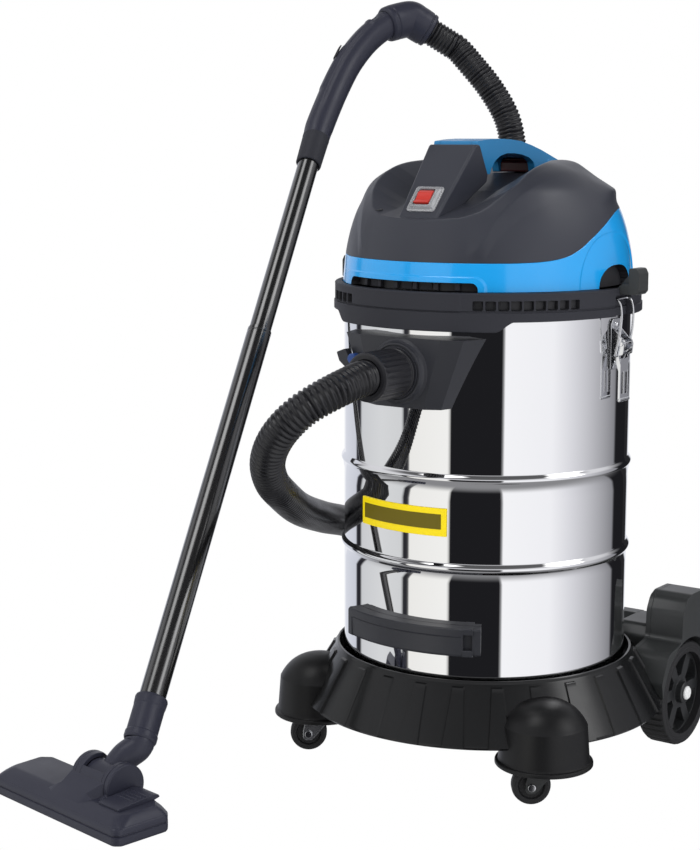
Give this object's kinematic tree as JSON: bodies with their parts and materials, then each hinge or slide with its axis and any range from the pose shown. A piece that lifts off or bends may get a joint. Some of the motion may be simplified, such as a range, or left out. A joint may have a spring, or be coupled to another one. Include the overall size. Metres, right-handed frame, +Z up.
{
  "type": "shop vacuum",
  "caption": "Wheeled wet and dry vacuum with a polished steel tank, latched lift-off motor head, corrugated hose, bent grip, two-tube wand and floor nozzle.",
  "frame": {"origin": "centre of the object's footprint on the floor, measured without the free hose", "axes": "+Z up, the tank's hose inlet and front grip face -Y, the latches are at +X and -X"},
  "size_m": [0.718, 1.1769, 1.0388],
  "materials": {
    "gloss_black": "glossy",
    "black_plastic": "satin",
    "graphite_plastic": "fine texture",
    "tool_plastic": "fine texture",
    "stainless": "polished",
    "chrome_wire": "polished",
    "black_steel": "gloss",
    "blue_plastic": "glossy",
    "handle_blue": "satin",
    "switch_red": "glossy",
    "dark_red": "satin",
    "clear_boot": "clear vinyl",
    "yellow_label": "satin film",
    "white_plastic": "satin",
    "hose_rubber": "satin",
    "seal_rubber": "matte",
    "tyre": "matte",
    "filter_paper": "matte",
    "rotor_metal": "satin"
  },
  "bodies": {
    "machine": {"base_dolly": "gloss_black", "rear_axle": "chrome_wire", "tank": "stainless", "tank_gasket": "seal_rubber", "front_grip": "black_plastic", "label_plate": "yellow_label", "inlet_panel": "black_plastic", "inlet_boss": "black_plastic", "inlet_deflector": "black_plastic", "latch_bracket_left": "chrome_wire", "latch_bracket_right": "chrome_wire", "latch_pin_left": "chrome_wire", "latch_pin_right": "chrome_wire", "hose_cuff_inlet": "black_plastic", "hose": "hose_rubber", "hose_cuff_grip": "tool_plastic", "bent_grip": "tool_plastic", "grip_collar": "tool_plastic", "wand_upper": "black_steel", "wand_lower": "black_steel", "nozzle_neck": "tool_plastic"},
    "head": {"head_ring": "black_plastic", "motor_housing": "graphite_plastic", "float_cage": "white_plastic", "filter_cartridge": "filter_paper", "top_cover": "graphite_plastic", "blue_band": "blue_plastic", "switch_boot": "clear_boot", "carry_handle": "handle_blue", "handle_core": "dark_red", "cable_gland": "black_plastic", "latch_catch_left": "black_plastic", "latch_catch_right": "black_plastic"},
    "rocker": {"switch_rocker": "switch_red"},
    "rotor": {"motor_rotor": "rotor_metal"},
    "float": {"float_ball": "white_plastic"},
    "release_button": {"inlet_release_button": "blue_plastic"},
    "relief_valve": {"relief_slider": "tool_plastic"},
    "elbow": {"nozzle_elbow": "tool_plastic"},
    "nozzle": {"nozzle_body": "tool_plastic", "nozzle_sole": "chrome_wire"},
    "pedal": {"nozzle_pedal": "tool_plastic"},
    "brush": {"nozzle_brush": "black_plastic"},
    "caster_left": {"caster_fork_left": "black_plastic", "caster_axle_left": "chrome_wire"},
    "caster_roller_left": {"caster_wheel_left": "tyre"},
    "rear_roller_left": {"rear_wheel_left": "black_plastic", "hub_cap_left": "white_plastic"},
    "latch_lever_body_left": {"latch_lever_left": "chrome_wire"},
    "latch_bail_body_left": {"latch_bail_left": "chrome_wire"},
    "caster_right": {"caster_fork_right": "black_plastic", "caster_axle_right": "chrome_wire"},
    "caster_roller_right": {"caster_wheel_right": "tyre"},
    "rear_roller_right": {"rear_wheel_right": "black_plastic", "hub_cap_right": "white_plastic"},
    "latch_lever_body_right": {"latch_lever_right": "chrome_wire"},
    "latch_bail_body_right": {"latch_bail_right": "chrome_wire"}
  },
  "joints": [
    {"name": "caster_swivel_left", "type": "hinge", "parent": "machine", "child": "caster_left", "pos_m": [-0.06107, -0.09475, 0.06], "axis": [0, 0, 1], "continuous": true},
    {"name": "caster_roll_left", "type": "hinge", "parent": "caster_left", "child": "caster_roller_left", "pos_m": [-0.07405, -0.10411, 0.025], "axis": [0.585, -0.811, 0], "continuous": true},
    {"name": "rear_wheel_roll_left", "type": "hinge", "parent": "machine", "child": "rear_roller_left", "pos_m": [-0.08707, 0.21825, 0.073], "axis": [1, 0, 0], "continuous": true},
    {"name": "latch_lever_swing_left", "type": "hinge", "parent": "machine", "child": "latch_lever_body_left", "pos_m": [-0.09108, 0.04325, 0.575], "axis": [0, 1, 0], "range_deg": [0, 115]},
    {"name": "latch_bail_swing_left", "type": "hinge", "parent": "latch_lever_body_left", "child": "latch_bail_body_left", "pos_m": [-0.08507, 0.04325, 0.5602], "axis": [0, 1, 0], "range_deg": [-172.5, 0]},
    {"name": "caster_swivel_right", "type": "hinge", "parent": "machine", "child": "caster_right", "pos_m": [0.29092, -0.09475, 0.06], "axis": [0, 0, 1], "continuous": true},
    {"name": "caster_roll_right", "type": "hinge", "parent": "caster_right", "child": "caster_roller_right", "pos_m": [0.27795, -0.10411, 0.025], "axis": [0.585, -0.811, 0], "continuous": true},
    {"name": "rear_wheel_roll_right", "type": "hinge", "parent": "machine", "child": "rear_roller_right", "pos_m": [0.31693, 0.21825, 0.073], "axis": [1, 0, 0], "continuous": true},
    {"name": "latch_lever_swing_right", "type": "hinge", "parent": "machine", "child": "latch_lever_body_right", "pos_m": [0.32093, 0.04325, 0.575], "axis": [0, -1, 0], "range_deg": [0, 115]},
    {"name": "latch_bail_swing_right", "type": "hinge", "parent": "latch_lever_body_right", "child": "latch_bail_body_right", "pos_m": [0.31493, 0.04325, 0.5602], "axis": [0, -1, 0], "range_deg": [-172.5, 0]},
    {"name": "head_lift", "type": "slide", "parent": "machine", "child": "head", "axis": [0, 0, 1], "range_m": [0, 0.25]},
    {"name": "power_rocker", "type": "hinge", "parent": "head", "child": "rocker", "pos_m": [0.11492, -0.1075, 0.75656], "axis": [1, 0, 0], "range_deg": [-9, 9]},
    {"name": "motor_spin", "type": "hinge", "parent": "head", "child": "rotor", "pos_m": [0.11492, 0.04325, 0.68], "axis": [0, 0, 1], "continuous": true},
    {"name": "float_rise", "type": "slide", "parent": "head", "child": "float", "axis": [0, 0, 1], "range_m": [0, 0.055]},
    {"name": "inlet_release", "type": "slide", "parent": "machine", "child": "release_button", "axis": [0, 1, 0], "range_m": [0, 0.003], "stiffness_N_per_m": 400},
    {"name": "relief_slide", "type": "slide", "parent": "machine", "child": "relief_valve", "axis": [-0.0899, 0.6992, 0.7092], "range_m": [-0.007, 0.007]},
    {"name": "nozzle_swivel", "type": "hinge", "parent": "machine", "child": "elbow", "pos_m": [-0.11999, -0.39636, 0.08235], "axis": [-0.202, 0.6402, 0.7412], "range_deg": [-75, 75]},
    {"name": "nozzle_tilt", "type": "hinge", "parent": "elbow", "child": "nozzle", "pos_m": [-0.13525, -0.43931, 0.042], "axis": [0.9846, -0.1747, 0], "range_deg": [-40, 25]},
    {"name": "brush_pedal", "type": "hinge", "parent": "nozzle", "child": "pedal", "pos_m": [-0.077, -0.4659, 0.037], "axis": [0.9846, -0.1747, 0], "range_deg": [-12, 0]},
    {"name": "brush_drop", "type": "slide", "parent": "nozzle", "child": "brush", "axis": [0, 0, -1], "range_m": [0, 0.0045]}
  ],
  "couplings": [
    {"joint": "latch_bail_swing_left", "follows": "latch_lever_swing_left", "ratio": -1.5},
    {"joint": "latch_bail_swing_right", "follows": "latch_lever_swing_right", "ratio": -1.5},
    {"joint": "brush_drop", "follows": "brush_pedal", "m_per_rad": -0.021486}
  ]
}
